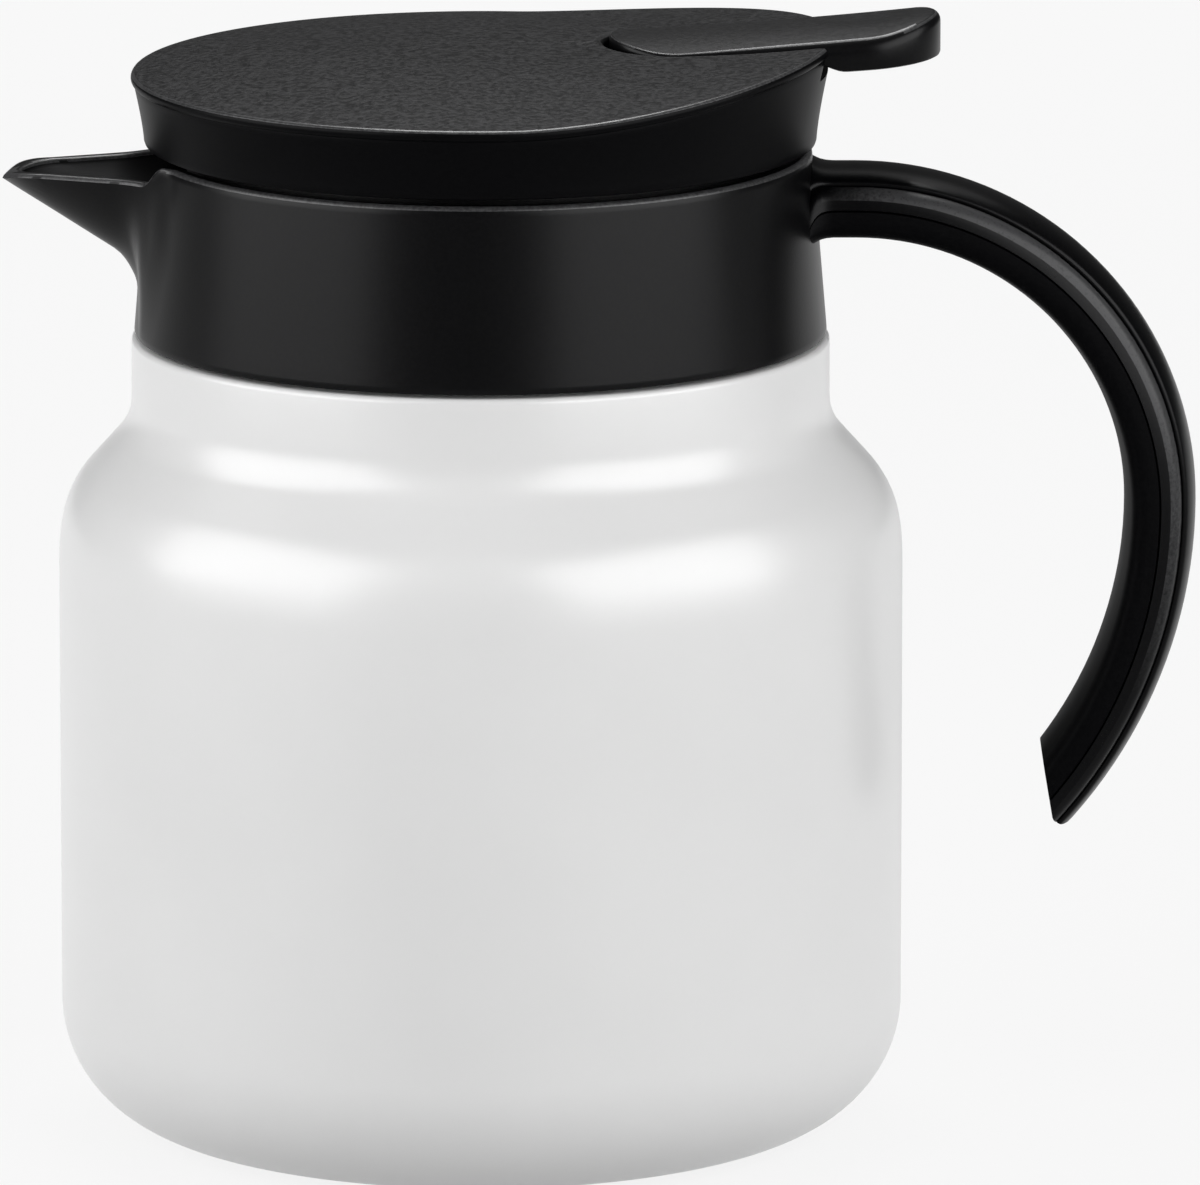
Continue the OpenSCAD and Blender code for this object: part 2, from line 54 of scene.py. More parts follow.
EASE_LEAN, SHOULDER_LEAN = 9, 42
SHEET = 0.8
NECK_EDGE = 0.8
SHELL_STEPS = 192


def arc(x, z, radius, start, end, steps):
    """Points of an arc about (x, z), from start to end in degrees."""
    turns = [math.radians(start + (end - start) * i / steps) for i in range(steps + 1)]
    return [(x + radius * math.cos(t), z + radius * math.sin(t)) for t in turns]


def round_axis(line, steps):
    """Columns of points, in millimetres, of a line of (radius, height) points carried round the axis."""
    turns = [2 * math.pi * i / steps for i in range(steps)]
    return [[(r * math.cos(t), r * math.sin(t), z) for r, z in line] for t in turns]


def turned(columns, closed):
    """Spins a chain of points into a sleeve and moves the points of each column to their places."""
    rows, steps = len(columns[0]), len(columns)
    mesh = bmesh.new()
    chain = [mesh.verts.new((1, 0, row)) for row in range(rows)]
    edges = [mesh.edges.new(pair) for pair in zip(chain, chain[1:])]
    if closed:
        edges.append(mesh.edges.new((chain[-1], chain[0])))
    bmesh.ops.spin(mesh, geom=chain + edges, cent=(0, 0, 0), axis=(0, 0, 1), angle=2 * math.pi, steps=steps,
                   use_merge=True)
    bmesh.ops.remove_doubles(mesh, verts=mesh.verts, dist=1e-4)
    for v in mesh.verts:
        column = round(math.atan2(v.co.y, v.co.x) / (2 * math.pi) * steps) % steps
        v.co = Vector(columns[column][round(v.co.z)]) * MM
    bmesh.ops.remove_doubles(mesh, verts=mesh.verts, dist=1e-7)
    bmesh.ops.recalc_face_normals(mesh, faces=mesh.faces)
    return mesh


def linear(code):
    """Linear colour of an sRGB hex value."""
    parts = [int(code[i:i + 2], 16) / 255 for i in (1, 3, 5)]
    return [p / 12.92 if p <= 0.04045 else ((p + 0.055) / 1.055) ** 2.4 for p in parts] + [1.0]


def add(tree, kind, values={}, links={}, **settings):
    """Adds one shader node with its settings, its input values and the sockets that feed it."""
    node = tree.nodes.new("ShaderNode" + kind)
    for name, value in settings.items():
        setattr(node, name, value)
    for name, value in values.items():
        node.inputs[name].default_value = value
    for name, socket in links.items():
        tree.links.new(socket, node.inputs[name])
    return node


def blank_material(name):
    """An empty node material and its tree."""
    material = bpy.data.materials.new(name)
    material.use_nodes = True
    material.node_tree.nodes.clear()
    return material, material.node_tree


def finished(name, mesh, material, body, slot, *nodes, crease=35):
    """Makes the piece that stands for these nodes, smooth but for edges sharper than crease degrees."""
    data = bpy.data.meshes.new(name)
    mesh.to_mesh(data)
    mesh.free()
    data.shade_smooth()
    data.set_sharp_from_angle(angle=math.radians(crease))
    data.materials.append(material)
    piece = bpy.data.objects.new(name, data)
    bpy.context.scene.collection.objects.link(piece)
    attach(piece, body)
    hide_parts(*nodes)
    return piece


def wall_line(inset):
    """Outline of the jug's sheet, from the standing ring up to the mouth, moved inward by inset."""
    ease = math.radians(EASE_LEAN)
    middle = WALL_R - EASE_R + (EASE_R - SHOULDER_R) * math.cos(ease)
    return ([(FOOT_IN, inset)]
            + arc(WALL_R - FOOT_R, FOOT_R, FOOT_R - inset, -90, 0, 24)
            + arc(WALL_R - EASE_R, WALL_TOP, EASE_R - inset, 0, EASE_LEAN, 8)
            + arc(middle, WALL_TOP + (EASE_R - SHOULDER_R) * math.sin(ease), SHOULDER_R - inset, EASE_LEAN,
                  SHOULDER_LEAN, 12)[1:]
            + arc(NECK_R + HOLLOW_R, HOLLOW_Z, HOLLOW_R + inset, 180 + SHOULDER_LEAN, 180, 12)
            + arc(NECK_R - NECK_EDGE - inset, NECK_TOP - NECK_EDGE - inset, NECK_EDGE, 0, 90, 5)
            + [(CORE_R - inset, NECK_TOP - inset), (CORE_R - inset, CORE_TOP)])


# Sprayed enamel over steel: a smooth gloss with the faint orange peel that a thick spray coat leaves.
white_enamel, tree = blank_material("white_enamel")
place = add(tree, "TexCoord").outputs["Object"]
peel = add(tree, "TexNoise", {"Scale": 1 / (2.4 * MM), "Detail": 1.0}, {"Vector": place})
cloud = add(tree, "TexNoise", {"Scale": 1 / (45 * MM), "Detail": 2.0}, {"Vector": place})
tone = add(tree, "ValToRGB", links={"Fac": cloud.outputs["Fac"]})
tone.color_ramp.interpolation = "EASE"
tone.color_ramp.elements[0].position = 0.2
tone.color_ramp.elements[0].color = linear("#E0E0E0")
tone.color_ramp.elements[1].position = 0.8
tone.color_ramp.elements[1].color = linear("#E4E4E4")
gloss = add(tree, "MapRange", {"To Min": 0.26, "To Max": 0.31}, {"Value": cloud.outputs["Fac"]})
ripple = add(tree, "Bump", {"Strength": 1.0, "Distance": 0.006 * MM}, {"Height": peel.outputs["Fac"]})
coat = add(tree, "BsdfPrincipled", {"IOR": 1.5, "Specular IOR Level": 0.26},
           {"Base Color": tone.outputs["Color"], "Roughness": gloss.outputs["Result"],
            "Normal": ripple.outputs["Normal"]})
add(tree, "OutputMaterial", links={"Surface": coat.outputs["BSDF"]})

shell_line = wall_line(0) + wall_line(SHEET)[::-1]
finished("shell_wall", turned(round_axis(shell_line, SHELL_STEPS), True), white_enamel, "jug", "white_coat",
         "outer_shell")


# Inner flask, base and small fittings: bare stainless steel, spun or stamped, with fine lines of brushing.
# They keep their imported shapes, as do the getter pill and the solder plug of the vacuum, which are duller.
brushed_steel, tree = blank_material("brushed_steel")
place = add(tree, "TexCoord").outputs["Object"]
squeeze = add(tree, "Mapping", {"Scale": (1 / (14 * MM), 1 / (14 * MM), 1 / (0.35 * MM))}, {"Vector": place})
brush = add(tree, "TexNoise", {"Scale": 1.0, "Detail": 3.0}, {"Vector": squeeze.outputs["Vector"]})
shine = add(tree, "MapRange", {"To Min": 0.26, "To Max": 0.42}, {"Value": brush.outputs["Fac"]})
steel_tone = add(tree, "ValToRGB", links={"Fac": brush.outputs["Fac"]})
steel_tone.color_ramp.elements[0].color = linear("#A9A9AA")
steel_tone.color_ramp.elements[1].color = linear("#CFCFD0")
scratch = add(tree, "Bump", {"Strength": 0.4, "Distance": 0.01 * MM}, {"Height": brush.outputs["Fac"]})
metal = add(tree, "BsdfPrincipled", {"Metallic": 1.0},
            {"Base Color": steel_tone.outputs["Color"], "Roughness": shine.outputs["Result"],
             "Normal": scratch.outputs["Normal"]})
add(tree, "OutputMaterial", links={"Surface": metal.outputs["BSDF"]})

# Solder and getter metal: a dull, pitted grey with only a broad, soft shine.
dull_metal, tree = blank_material("dull_solder_metal")
place = add(tree, "TexCoord").outputs["Object"]
grain = add(tree, "TexNoise", {"Scale": 1 / (0.8 * MM), "Detail": 4.0}, {"Vector": place})
dull_tone = add(tree, "ValToRGB", links={"Fac": grain.outputs["Fac"]})
dull_tone.color_ramp.elements[0].color = linear("#6E6E70")
dull_tone.color_ramp.elements[1].color = linear("#8C8C8E")
pits = add(tree, "Bump", {"Strength": 0.5, "Distance": 0.03 * MM}, {"Height": grain.outputs["Fac"]})
metal = add(tree, "BsdfPrincipled", {"Metallic": 1.0, "Roughness": 0.6},
            {"Base Color": dull_tone.outputs["Color"], "Normal": pits.outputs["Normal"]})
add(tree, "OutputMaterial", links={"Surface": metal.outputs["BSDF"]})


def clothe(material, *names):
    """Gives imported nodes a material."""
    for name in names:
        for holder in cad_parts[name].material_slots:
            holder.material = material


clothe(brushed_steel, "inner_flask", "base_plate", "neck_ring", "handle_screws", "cover_screws", "lever_pin",
       "stem_clip")
clothe(dull_metal, "getter_capsule", "vacuum_plug")


# Collar: a black ring moulded in one piece with the beaked spout, snapped over the neck by the wire ring.
# The spout's trough runs into the bore, and its rim steps down from the top edge of the ring.
COLLAR_Z, COLLAR_TOP = 119.435, 146.835
COLLAR_R, COLLAR_TOP_R, BORE_R, MOUTH_R = 51.2, 48.9, 46.4, 45.0
SHELF_LOW, SHELF_TOP = 128.235, 130.435
SPOUT_Z, SPOUT_REACH, SPOUT_END = 144.035, 71.4, 6.6
SPOUT_ROOT, ROOT_HALF, END_HALF = 50.0, 13.2, 7.75
ROOT_FLARE, FLARE_LONG, FLARE_AHEAD = 2.2, 9, 4
TIP_THICK, KEEL_SLOPE, KNEE_LONG, KNEE_DROP = 1.2, 0.64, 4.1, 4.2
TROUGH_DEEP, TROUGH_SLOPE, TROUGH_WALL, TROUGH_OVER = 0.9, 0.19, 1.7, 0.2
TROUGH_TIP, TROUGH_TURN, TROUGH_ROUND = 1.5, 10.4, 6.6
KEEL_BLEND, FLANK_BLEND, ROOT_BLEND, ROOT_DEEP = 0.6, 3.0, 3.4, 14
FLANK_SIDES, FADE_SIDES, STEP_SIDES = (4, 14), (24, 46), (15.8, 21.0)
TIP_SIDE, TROUGH_SIDE, BORE_SIDE = 6.2, 24, 40
LIP_DROP, TIP_DROP, TROUGH_DROP = 0.62, 1.15, 0.25
RIM_CUT = [(0.0, LIP_DROP), (0.06, 0.34), (0.16, 0.12), (0.3, 0.0),
           (0.7, 0.0), (0.84, 0.12), (0.94, 0.34), (1.0, LIP_DROP)]
NECK_GAP, COLLAR_EDGE = 0.2, 1.1
BAR_FOOT, BAR_CREST = 1.3, 0.8
COLLAR_STEPS, SPOUT_CROWD, WALL_ROWS = 320, 0.75, 26
TROUGH_ROWS, TROUGH_PITCH = 16, 0.42


def soften(a, b, reach):
    """The larger of two lengths, blended where they differ by less than reach."""
    near = max(reach - abs(a - b), 0) / reach
    return max(a, b) + near * near * reach / 4


def step(low, high, value):
    """Smooth step from 0 at low to 1 at high."""
    t = min(1, max(0, (value - low) / (high - low)))
    return t * t * (3 - 2 * t)


def spout_half(x):
    """Half width of the spout at reach x from the axis."""
    straight = SPOUT_REACH - SPOUT_END
    if x > straight:
        return END_HALF * math.sqrt(max(0, 1 - ((x - straight) / SPOUT_END) ** 2))
    half = ROOT_HALF + (END_HALF - ROOT_HALF) * (x - SPOUT_ROOT) / (straight - SPOUT_ROOT)
    return half + ROOT_FLARE * step(0, FLARE_LONG, SPOUT_ROOT + FLARE_AHEAD - x)


def spout_under(x, y):
    """Height of the spout's underside at reach x and y to the side."""
    keel = SPOUT_Z - TIP_THICK - (SPOUT_REACH - x) * KEEL_SLOPE
    knee = SPOUT_ROOT + KNEE_LONG
    keel -= KNEE_DROP * ((knee - x) / KNEE_LONG) ** 2.2 if x < knee else 0
    half = spout_half(x)
    return keel + (SPOUT_Z - keel) * (abs(y) / half) ** 1.7 if half > 0.01 else 999


def trough_floor(x, y):
    """Height of the pouring trough at reach x and y to the side."""
    floor = SPOUT_Z - TROUGH_DEEP - max(0, SPOUT_REACH - TROUGH_TIP - x) * TROUGH_SLOPE
    turn = SPOUT_REACH - TROUGH_TURN
    half = spout_half(min(x, turn)) - TROUGH_WALL
    if x > turn:
        half *= math.sqrt(max(0, 1 - ((x - turn) / TROUGH_ROUND) ** 2))
    return floor + (SPOUT_Z + TROUGH_OVER - floor) * (abs(y) / half) ** 2.4 if half > 0.01 else 999


def reach_of(surface, turn, z):
    """Radius, at an angle from the spout, at which a surface that rises outward reaches height z."""
    low, high = 40.0, SPOUT_REACH
    for _ in range(26):
        middle = (low + high) / 2
        if surface(middle * math.cos(turn), middle * math.sin(turn)) <= z:
            low = middle
        else:
            high = middle
    return low


def rim_height(side):
    """Height of the collar's rim at an angle, in degrees, from the spout, where it steps down."""
    return SPOUT_Z + (COLLAR_TOP - SPOUT_Z) * step(*STEP_SIDES, side)


def tip_share(side):
    """Share of the slanting cut at the spout's tip, at an angle, in degrees, from the spout's middle."""
    return 1 - step(0, TIP_SIDE, side)


def collar_line(turn):
    """Closed section of the collar at an angle from the spout: underside, wall, rim, bore and shelf."""
    side = math.degrees(abs(turn))
    rim = rim_height(side)
    tip = tip_share(side)

    def outside(z):
        cone = COLLAR_R + (COLLAR_TOP_R - COLLAR_R) * (z - COLLAR_Z) / (COLLAR_TOP - COLLAR_Z)
        flank = FLANK_BLEND + ROOT_BLEND * step(0, ROOT_DEEP, rim - z)
        blend = KEEL_BLEND + flank * step(*FLANK_SIDES, side)
        blend *= 1 - step(*FADE_SIDES, side)
        return soften(cone, reach_of(spout_under, turn, z), blend) if blend > 0 else cone

    def inside(z):
        return max(BORE_R, reach_of(trough_floor, turn, z)) if side < BORE_SIDE else BORE_R

    line = [(CORE_R + NECK_GAP, COLLAR_Z), (COLLAR_R - 0.6, COLLAR_Z),
            (COLLAR_R - 0.2, COLLAR_Z + 0.13), (COLLAR_R - 0.05, COLLAR_Z + 0.5)]
    outer_edge = rim - TIP_DROP * tip - LIP_DROP
    inner_edge = rim - TROUGH_DROP * tip - LIP_DROP
    for i in range(WALL_ROWS):
        z = COLLAR_Z + COLLAR_EDGE + (outer_edge - COLLAR_Z - COLLAR_EDGE) * (i / WALL_ROWS) ** 0.85
        line.append((outside(z), z))
    out, back = outside(outer_edge), inside(inner_edge)
    for t, drop in RIM_CUT:
        top = rim - TIP_DROP * tip * (1 - t) - TROUGH_DROP * tip * t
        line.append((out + (back - out) * t, top - drop))
    for i in range(1, TROUGH_ROWS + 1):
        z = inner_edge - TROUGH_PITCH * i
        line.append((inside(z), z))
    line += [(BORE_R, SHELF_TOP + 4), (BORE_R, SHELF_TOP), (MOUTH_R, SHELF_TOP), (MOUTH_R, SHELF_LOW),
             (CORE_R + NECK_GAP, SHELF_LOW)]
    return line


def thread_bars(mesh, r_wall, r_crest, start, z, sweep, rise, steps=10):
    """Adds four thread bars to a mesh, each a short piece of a helix standing on a wall."""
    for quarter in range(4):
        turn = math.radians(start + 90 * quarter)
        ends = [(r_wall, -BAR_FOOT), (r_crest, -BAR_CREST), (r_crest, BAR_CREST), (r_wall, BAR_FOOT)]
        loop = [mesh.verts.new(Vector((r * math.cos(turn), r * math.sin(turn), z + h)) * MM) for r, h in ends]
        edges = [mesh.edges.new(pair) for pair in zip(loop, loop[1:] + loop[:1])]
        bmesh.ops.spin(mesh, geom=loop + edges, cent=(0, 0, 0), axis=(0, 0, 1), angle=math.radians(sweep),
                       steps=steps, dvec=(0, 0, rise / steps * MM))
    bmesh.ops.holes_fill(mesh, edges=[e for e in mesh.edges if e.is_boundary])
    bmesh.ops.recalc_face_normals(mesh, faces=mesh.faces)


# Black polypropylene from a finely spark-eroded mould: a deep black with a soft satin shine and a fine grain.
# The grain is about 0.3 mm on the tool and is drawn at 0.5 mm, so that it shows in the render.
def black_plastic(name, grain_mm, depth_mm, rough, dark, light, shine_level=0.085, ramp=(0.38, 0.62), fades=()):
    """Moulded black plastic with a grain of that size and depth.

    Each fade is an axis with two places on it, in millimetres, between which the dark goes over into the light.
    """
    material, tree = blank_material(name)
    place = add(tree, "TexCoord").outputs["Object"]
    grain = add(tree, "TexNoise", {"Scale": 1 / (grain_mm * MM), "Detail": 2.0, "Roughness": 0.6},
                {"Vector": place})
    cloud = add(tree, "TexNoise", {"Scale": 1 / (20 * MM), "Detail": 2.0}, {"Vector": place})
    amount = grain.outputs["Fac"]
    for axis, start, end in fades:
        along = add(tree, "SeparateXYZ", links={"Vector": place}).outputs[axis]
        fade = add(tree, "MapRange", {"From Min": start * MM, "From Max": end * MM, "To Min": 0.0},
                   {"Value": along, "To Max": amount})
        amount = fade.outputs["Result"]
    tone = add(tree, "ValToRGB", links={"Fac": amount})
    for stop, position, colour in zip(tone.color_ramp.elements, ramp, (dark, light)):
        stop.position = position
        stop.color = linear(colour)
    shine = add(tree, "MapRange", {"To Min": rough - 0.04, "To Max": rough + 0.04},
                {"Value": cloud.outputs["Fac"]})
    relief = add(tree, "Bump", {"Strength": 1.0, "Distance": depth_mm * MM}, {"Height": grain.outputs["Fac"]})
    skin = add(tree, "BsdfPrincipled", {"IOR": 1.49, "Specular IOR Level": shine_level},
               {"Base Color": tone.outputs["Color"], "Roughness": shine.outputs["Result"],
                "Normal": relief.outputs["Normal"]})
    add(tree, "OutputMaterial", links={"Surface": skin.outputs["BSDF"]})
    return material


# The same plastic is painted a lighter grey along upward-facing edges, a painted highlight for the light those
# edges catch, and stays dull in the trough.
satin_black = black_plastic("satin_black_polypropylene", 0.5, 0.006, 0.32, "#030304", "#060607")
painted_highlight_black = black_plastic("painted_highlight_edge_black", 0.5, 0.003, 0.32, "#2A2A2B", "#404041", 0.18)
trough_black = black_plastic("dull_black_trough", 0.5, 0.006, 0.5, "#020203", "#040405", 0.02)

# The columns of points crowd toward the spout, where the shape changes most.
even_turns = [2 * math.pi * i / COLLAR_STEPS - math.pi for i in range(COLLAR_STEPS)]
collar_columns = []
for turn in [t - SPOUT_CROWD * math.sin(t) for t in even_turns]:
    collar_columns.append([(-r * math.cos(turn), -r * math.sin(turn), z) for r, z in collar_line(turn)])
collar_mesh = turned(collar_columns, True)
thread_bars(collar_mesh, BORE_R + 0.5, MOUTH_R + 0.1, start=20, z=SHELF_TOP + 2.2, sweep=40, rise=4.0)
RIM_BAND, TIP_BAND, TROUGH_BAND = 0.7, 1.2, 8
# Faces on the rim's upward-facing top edge take the lighter black, a painted highlight; the trough's faces take
# the dull black.
for face in collar_mesh.faces:
    x, y, z = face.calc_center_median() / MM
    side = math.degrees(abs(math.atan2(y, -x)))
    rim, tip = rim_height(side), tip_share(side)
    reach = math.hypot(x, y)
    outward = (face.normal.x * x + face.normal.y * y) / reach
    brink = reach_of(trough_floor, math.radians(side), rim - LIP_DROP - TROUGH_DROP * tip)
    by_spout = side < TROUGH_SIDE and z > SPOUT_Z - TROUGH_BAND
    in_trough = by_spout and outward < 0.35 and face.normal.z > 0.1 and reach < brink - 0.02
    on_lip = z > rim - RIM_BAND - TIP_BAND * tip and 0.35 < face.normal.z < 0.97
    face.material_index = 2 if in_trough else 1 if on_lip else 0
collar = finished("collar_and_spout", collar_mesh, satin_black, "jug", "black_plastic", "collar")
collar.data.materials.append(painted_highlight_black)
collar.data.materials.append(trough_black)


# Handle: two black mouldings, an outer frame screwed to the collar and an inner grip pressed into it.
# Both follow one line: out from the collar, round a tight bend, down a wider one, to a slanted end.
HANDLE_X, HANDLE_Z, BEND_R, LOW_R = 55.4, 139.235, 45.2, 67.8
BEND_Z = HANDLE_Z - BEND_R
LOW_X = HANDLE_X + BEND_R - LOW_R
HANDLE_HALF_T, HANDLE_HALF_W = 5.3, 10.2
END_TURN, END_LEAN, END_BEVEL, TIP_R, TIP_CUTS = 36.4, 9.5, 0.9, 2.2, 10
BEND_STEPS, LOW_STEPS, OVERRUN = 40, 26, 14
DIP_MIDDLE, DIP_REACH = 1, 4.3
FRAME_HALF = [(5.3, 0), (5.24, 1.6), (5.06, 3.2), (4.74, 4.8), (4.36, 6.0), (4.02, 6.8), (3.82, 7.14),
              (3.6, 7.36), (3.4, 7.44), (3.22, 7.42), (3.12, 7.28), (3.02, 7.42), (2.96, 7.66), (2.86, 8.0),
              (2.62, 8.46), (2.28, 8.84), (1.86, 9.14), (1.3, 9.4), (0.6, 9.64), (-0.1, 9.82), (-0.2, 9.5),
              (-0.2, 8.7), (0.3, 8.6), (0.3, 0)]
GRIP_HALF = [(0.22, 0), (0.22, 8.5), (-0.32, 8.6), (-0.32, 9.6), (-0.42, 9.9), (-1.57, 10.12), (-2.7, 10.2),
             (-3.3, 10.08), (-3.85, 9.7), (-4.25, 9.0), (-4.5, 8.0), (-4.75, 6.6), (-4.98, 5.2), (-5.16, 3.6),
             (-5.27, 1.8), (-5.3, 0)]
ROOT = [(46.8, 1.6, 3.2), (48.3, 1.5, 2.9), (48.7, 1.2, 2.0), (49.1, 0.9, 1.3), (49.6, 0.6, 0.7),
        (50.2, 0.3, 0.3), (51.0, 0.1, 0.1), (52.0, 0.0, 0.0)]


def lofted(rings):
    """Joins rings of points, in millimetres, one after the other, and closes both ends."""
    mesh = bmesh.new()
    loops = []
    for ring in rings:
        verts = [mesh.verts.new(Vector(point) * MM) for point in ring]
        loops.append([mesh.edges.new(pair) for pair in zip(verts, verts[1:] + verts[:1])])
    for before, after in zip(loops, loops[1:]):
        bmesh.ops.bridge_loops(mesh, edges=before + after)
    bmesh.ops.holes_fill(mesh, edges=loops[0] + loops[-1])
    bmesh.ops.recalc_face_normals(mesh, faces=mesh.faces)
    return mesh


def handle_stations():
    """Middle points, outward directions, widening and dip of the sides, from the collar to past the end."""
    stations = [((x, HANDLE_Z), (0, 1), grow, dip) for x, grow, dip in ROOT]
    for i in range(BEND_STEPS + 1):
        t = math.radians(90 - 90 * i / BEND_STEPS)
        stations.append(((HANDLE_X + BEND_R * math.cos(t), BEND_Z + BEND_R * math.sin(t)),
                         (math.cos(t), math.sin(t)), 0, 0))
    for i in range(1, LOW_STEPS + 1):
        t = math.radians(-(END_TURN + OVERRUN) * i / LOW_STEPS)
        stations.append(((LOW_X + LOW_R * math.cos(t), BEND_Z + LOW_R * math.sin(t)),
                         (math.cos(t), math.sin(t)), 0, 0))
    return stations


def cut_off(mesh, point, out):
    """Cuts the handle's lower part at a plane, closes it and gives the edges of the cut."""
    low = [v for v in mesh.verts if v.co.z < BEND_Z * MM]
    faces = list(dict.fromkeys(f for v in low for f in v.link_faces))
    edges = list(dict.fromkeys(e for f in faces for e in f.edges))
    verts = list(dict.fromkeys(v for f in faces for v in f.verts))
    bmesh.ops.bisect_plane(mesh, geom=verts + edges + faces, plane_co=point * MM, plane_no=out, clear_outer=True)
    rim = [e for e in mesh.edges if e.is_boundary]
    bmesh.ops.holes_fill(mesh, edges=rim)
    return rim


def handle_half(half):
    """Carries a half section along the handle, cuts its slanted end and rounds that end's edges."""
    section = half + [(n, -w) for n, w in half[::-1] if w > 0]
    rings = []
    for (x, z), (dx, dz), grow, dip in handle_stations():
        tall, wide = 1 + grow / HANDLE_HALF_T, 1 + grow / HANDLE_HALF_W
        ring = []
        for n, w in section:
            sunk = n * tall - dip * max(0, 1 - ((n - DIP_MIDDLE) / DIP_REACH) ** 2)
            ring.append((x + dx * sunk, w * wide, z + dz * sunk))
        rings.append(ring)
    mesh = lofted(rings)
    turn, lean = math.radians(END_TURN), math.radians(END_LEAN)
    corner = LOW_R - HANDLE_HALF_T
    end = Vector((LOW_X + corner * math.cos(turn), 0, BEND_Z - corner * math.sin(turn)))
    along = Vector((math.sin(lean), 0, -math.cos(lean)))
    end_out = Vector((-math.cos(lean), 0, -math.sin(lean)))
    rim = cut_off(mesh, end, end_out)
    bmesh.ops.bevel(mesh, geom=rim, offset=END_BEVEL * MM, offset_type="OFFSET", affect="EDGES", segments=4,
                    profile=0.5, material=-1, clamp_overlap=True)
    middle = Vector((LOW_X, 0, BEND_Z))
    tip_reach = LOW_R + HANDLE_HALF_T - TIP_R
    start = end - end_out * TIP_R - middle
    drop = start.dot(along)
    tip = start + along * (math.sqrt(drop ** 2 + tip_reach ** 2 - start.length_squared) - drop)
    first, last = math.pi + lean, 2 * math.pi + math.atan2(tip.z, tip.x)
    for i in range(1, TIP_CUTS):
        t = first + (last - first) * i / TIP_CUTS
        out = Vector((math.cos(t), 0, math.sin(t)))
        cut_off(mesh, middle + tip + out * TIP_R, out)
    bmesh.ops.recalc_face_normals(mesh, faces=mesh.faces)
    return mesh


def depth_of(x, z):
    """Distance of a point from the handle's middle line, outward, in millimetres."""
    if z < BEND_Z:
        return math.hypot(x - LOW_X, z - BEND_Z) - LOW_R
    return math.hypot(max(0, x - HANDLE_X), z - BEND_Z) - BEND_R


# The frame has the satin of a polished mould and the grip a duller one. Along the frame's shoulder a lighter
# band is painted in as a highlight, and it fades out beside the collar and toward the handle's end.
handle_black = black_plastic("satin_black_handle", 0.5, 0.004, 0.28, "#030304", "#060607", 0.06)
grip_black = black_plastic("dull_black_grip", 0.5, 0.008, 0.46, "#030304", "#060607", 0.02)
painted_highlight_band_black = black_plastic("painted_highlight_handle_band", 0.5, 0.004, 0.28, "#050506", "#3C3C3D", 0.09,
                           ramp=(0.05, 0.45), fades=(("Z", 62, 108), ("X", 50, 62)))
BAND_LOW, BAND_HIGH, BAND_SIDE, BAND_START = 1.3, 2.95, 7.6, 50.5
frame_mesh = handle_half(FRAME_HALF)
# Faces on the frame's shoulder take the painted highlight band.
for face in frame_mesh.faces:
    x, y, z = face.calc_center_median() / MM
    on_shoulder = BAND_LOW < depth_of(x, z) < BAND_HIGH and abs(y) > BAND_SIDE
    face.material_index = 1 if x > BAND_START and on_shoulder else 0
outer = finished("handle_outer", frame_mesh, handle_black, "jug", "black_plastic", "handle_frame")
outer.data.materials.append(painted_highlight_band_black)
finished("handle_inner", handle_half(GRIP_HALF), grip_black, "jug", "black_plastic", "handle_grip")


# Lid cover: a crowned black moulding with a flared skirt and a rounded lip that rises toward the handle.
# A long recess for the lever is sunk into its top and breaks out through the lip.
RIM_Z, RIM_R, SKIRT_Z, SKIRT_R = 158.435, 51.5, 147.935, 49.6
CROWN, RIM_RISE, LIP_R, LIP_FLARE = 4.2, 5.6, 0.9, 0.18
RECESS_FLOOR, FLOOR_T = 158.635, 1.6
LEVER_IN, LEVER_OUT, LEVER_HALF, LEVER_GAP = 19.0, 67.8, 11.0, 0.8
PIN_X, LOBE_R = 40.0, 0.8
POCKET_R, POCKET_Z = 9.0, 160.3
RIDGE, RIDGE_WIDE = 0.22, 1.3
SKIRT_EDGE, SKIRT_WALL, RIB_IN = 0.5, 2.2, 12
LID_STEPS, TOP_ROWS = 240, 28


def lip_rise(turn):
    """Rise of the lip toward the handle at an angle from it."""
    return RIM_RISE * max(0, (math.cos(turn) - 0.1) / 0.9) ** 1.6


def top_reach(turn):
    """Radius of the lid's top inside its lip, at an angle from the handle: it grows where the lip rises."""
    return RIM_R - LIP_R + LIP_FLARE * lip_rise(turn)


def lid_top(x, y):
    """Height of the lid's crowned top."""
    q = min(1, math.hypot(x, y) / top_reach(math.atan2(y, x)))
    ridge = RIDGE * math.exp(-(y / RIDGE_WIDE) ** 2) * step(-4, 12, x)
    return RIM_Z + CROWN * (1 - q * q) + lip_rise(math.atan2(y, x)) * q ** 2.5 + ridge


